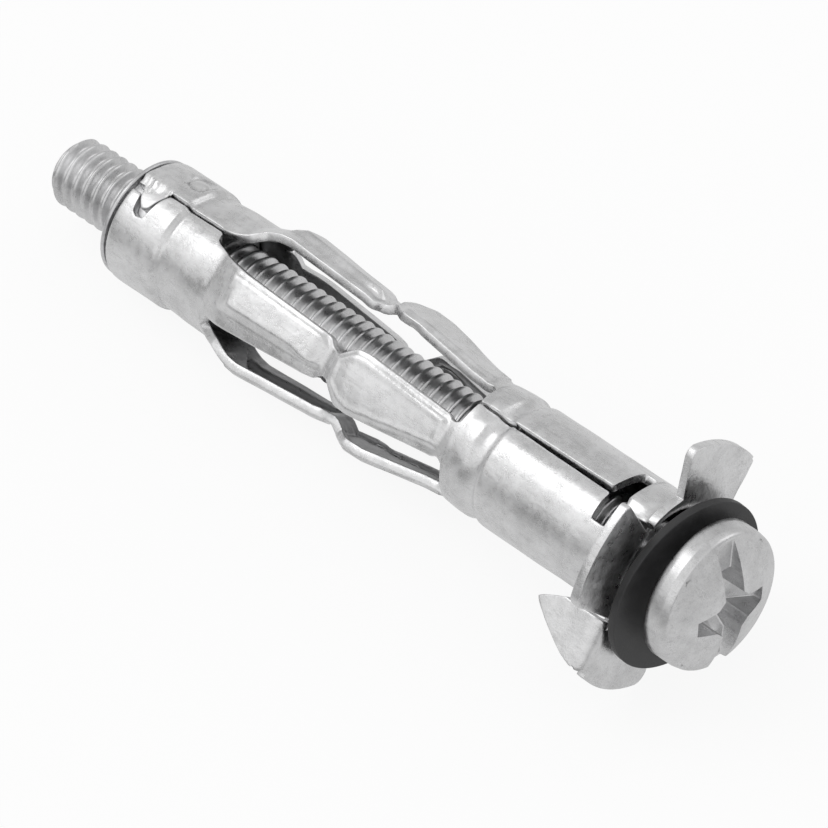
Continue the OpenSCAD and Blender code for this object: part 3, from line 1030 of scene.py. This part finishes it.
def set_world(level):
    """A pale room, greyer low down: one ramp by height in front of the anchor, one behind it."""
    world = bpy.data.worlds.new("Room")
    bpy.context.scene.world = world
    tree = cleared(world)
    out = add_node(tree, "OutputWorld")
    back = add_node(tree, "Background")
    direction = add_node(tree, "TexCoord").outputs["Generated"]
    height = split(tree, direction, "Z")
    behind = ramp(tree, split(tree, direction, "Y"), -0.3, 0.3, 0.0, 1.0)
    room = mixed(tree, behind, room_light(tree, height, FRONT_ROOM), room_light(tree, height, BACK_ROOM))
    to_eye = add_node(tree, "LightPath").outputs["Is Camera Ray"]
    feed(tree, back.inputs["Color"], mixed(tree, to_eye, room, grey(1.0)))
    feed(tree, back.inputs["Strength"], ramp(tree, to_eye, 0, 1, level, 1.0))
    feed(tree, out.inputs["Surface"], back.outputs[0])


def add_lamp(name, spot, size, power):
    """A soft square lamp that faces the anchor's middle."""
    data = bpy.data.lights.new(name, "AREA")
    data.size = size
    data.energy = power
    lamp = bpy.data.objects.new(name, data)
    bpy.context.scene.collection.objects.link(lamp)
    lamp.matrix_world = looking(Vector(spot), Vector(CAMERA_AIM) * MM)


# ---------------------------------------------------------------- settings


class AnchorSleeveSettings(bpy.types.PropertyGroup):
    """Sizes and finish of the rolled sleeve."""

    thickness: bpy.props.FloatProperty(
        name="Sheet", description="Thickness of the sheet",
        default=SHEET * MM, unit="LENGTH", precision=5)
    edge: bpy.props.FloatProperty(
        name="Edge", description="Rounding of the sheet's cut edges",
        default=0.00006, unit="LENGTH", precision=5)
    step: bpy.props.FloatProperty(
        name="Step", description="Distance between rows of the mesh",
        default=0.00015, unit="LENGTH", precision=5)
    colour: bpy.props.FloatVectorProperty(
        name="Plate", description="Colour of the zinc plate",
        default=(0.85, 0.85, 0.855), subtype="COLOR")
    # Painted shade: the darker colour laid on the inside of the barrel
    inside: bpy.props.FloatVectorProperty(
        name="Inside", description="Colour of the duller inside",
        default=(0.4, 0.4, 0.405), subtype="COLOR")


class AnchorNutSettings(bpy.types.PropertyGroup):
    """Sizes and finish of the nut in the sleeve's tail."""

    bore: bpy.props.FloatProperty(
        name="Bore", description="Radius of the threaded bore",
        default=0.002, unit="LENGTH", precision=5)
    colour: bpy.props.FloatVectorProperty(
        name="Plate", description="Colour of the nut's plate",
        default=(0.74, 0.74, 0.75), subtype="COLOR")


class AnchorWasherSettings(bpy.types.PropertyGroup):
    """Sizes and finish of the washer."""

    thickness: bpy.props.FloatProperty(
        name="Thickness", description="Thickness of the washer",
        default=0.00045, unit="LENGTH", precision=5)
    colour: bpy.props.FloatVectorProperty(
        name="Rubber", description="Colour of the rubber",
        default=(0.024, 0.024, 0.025), subtype="COLOR")


class AnchorScrewSettings(bpy.types.PropertyGroup):
    """Finish of the machine screw."""

    colour: bpy.props.FloatVectorProperty(
        name="Plate", description="Colour of the screw's plate",
        default=(0.78, 0.78, 0.785), subtype="COLOR")


class AnchorStageSettings(bpy.types.PropertyGroup):
    """Light, floor and view."""

    room: bpy.props.FloatProperty(
        name="Room light", description="Strength of the room's light", default=1.0)
    white: bpy.props.FloatProperty(
        name="Floor white", description="Share of the floor that shows as plain white",
        default=0.88, subtype="FACTOR", min=0, max=1)


# ---------------------------------------------------------------- operators


class AddSleeve(bpy.types.Operator):
    """Make the slotted sleeve with its petals and spikes"""

    bl_idname = "anchor.add_sleeve"
    bl_label = "Add sleeve"

    def execute(self, context):
        """Makes the sleeve's outer face and gives it its wall, bright outside, and a little rougher
        inside with painted shade down the barrel.
        """
        chosen = context.scene.anchor_sleeve
        piece = sleeve_mesh(stations(chosen.step / MM))
        solidify(piece, chosen.thickness, chosen.edge)
        finish = plated("zinc_sheet", chosen.colour, 0.27, 22.0, 0.000006)
        seat(piece, "sleeve", "sleeve", finish)
        # The inside's material carries painted shade down the barrel
        shaded_inside = plated("zinc_inside", chosen.colour, 0.3, 14.0, 0.000006, chosen.inside)
        piece.data.materials.append(shaded_inside)
        return {"FINISHED"}


class AddNut(bpy.types.Operator):
    """Make the flanged nut"""

    bl_idname = "anchor.add_nut"
    bl_label = "Add nut"

    def execute(self, context):
        """Makes the nut and puts it in the sleeve's tail."""
        chosen = context.scene.anchor_nut
        piece = nut_mesh(chosen.bore / MM)
        sharpen(piece, 50)
        seat(piece, "sleeve", "nut", plated("zinc_nut", chosen.colour, 0.3, 18.0, 0.000006))
        return {"FINISHED"}


class AddWasher(bpy.types.Operator):
    """Make the loose rubber washer"""

    bl_idname = "anchor.add_washer"
    bl_label = "Add washer"

    def execute(self, context):
        """Makes the washer and hangs it on the screw."""
        chosen = context.scene.anchor_washer
        piece = washer_mesh(chosen.thickness / MM)
        seat(piece, "washer", "washer", rubber("matt_rubber", chosen.colour))
        return {"FINISHED"}


class AddScrew(bpy.types.Operator):
    """Make the machine screw with its thread and pan head"""

    bl_idname = "anchor.add_screw"
    bl_label = "Add screw"

    def execute(self, context):
        """Joins the threaded shank and the head into one piece."""
        chosen = context.scene.anchor_screw
        shank, shank_faces = thread_grid(SCREW_TIP, HEAD_BACK + 0.2, 12, 56)
        head, head_faces = head_surface()
        faces = np.vstack([shank_faces, head_faces[:, ::-1] + len(shank)])
        piece = make_mesh("machine_screw", np.vstack([shank, head]), faces)
        sharpen(piece, 48)
        finish = plated("zinc_screw", chosen.colour, 0.3, 16.0, 0.000003)
        seat(piece, "screw", "screw", finish)
        return {"FINISHED"}


class SetStage(bpy.types.Operator):
    """Set the floor, the light and the view"""

    bl_idname = "anchor.set_stage"
    bl_label = "Set stage"

    def execute(self, context):
        """Makes the camera, floor, room and lamps."""
        chosen = context.scene.anchor_stage
        set_camera()
        set_floor(chosen.white)
        set_world(chosen.room)
        for lamp in LAMPS:
            add_lamp(*lamp)
        context.scene.view_settings.view_transform = "Standard"
        return {"FINISHED"}


OPERATORS = {
    AddSleeve: "anchor_sleeve",
    AddNut: "anchor_nut",
    AddWasher: "anchor_washer",
    AddScrew: "anchor_screw",
    SetStage: "anchor_stage",
}
SETTINGS = {
    "anchor_sleeve": AnchorSleeveSettings,
    "anchor_nut": AnchorNutSettings,
    "anchor_washer": AnchorWasherSettings,
    "anchor_screw": AnchorScrewSettings,
    "anchor_stage": AnchorStageSettings,
}


class AnchorPanel(bpy.types.Panel):
    """Lists the anchor's pieces in the sidebar"""

    bl_idname = "VIEW3D_PT_anchor"
    bl_label = "Hollow-wall anchor"
    bl_space_type = "VIEW_3D"
    bl_region_type = "UI"
    bl_category = "Anchor"

    def draw(self, context):
        """One button for each piece, and its settings under it."""
        for maker, settings in OPERATORS.items():
            box = self.layout.box()
            box.operator(maker.bl_idname)
            group = getattr(context.scene, settings)
            for name in group.__annotations__:
                box.prop(group, name)


def register():
    """Registers the settings, operators and panel."""
    for group in SETTINGS.values():
        bpy.utils.register_class(group)
    for maker in (*OPERATORS, AnchorPanel):
        bpy.utils.register_class(maker)
    for name, group in SETTINGS.items():
        setattr(bpy.types.Scene, name, bpy.props.PointerProperty(type=group))


def unregister():
    """Removes what register added."""
    for name in SETTINGS:
        delattr(bpy.types.Scene, name)
    for kind in (AnchorPanel, *OPERATORS, *SETTINGS.values()):
        bpy.utils.unregister_class(kind)


def main():
    """Makes the whole anchor on its stage."""
    register()
    bpy.ops.anchor.set_stage()
    bpy.ops.anchor.add_sleeve()
    bpy.ops.anchor.add_nut()
    bpy.ops.anchor.add_washer()
    bpy.ops.anchor.add_screw()


if __name__ == "__main__":
    main()
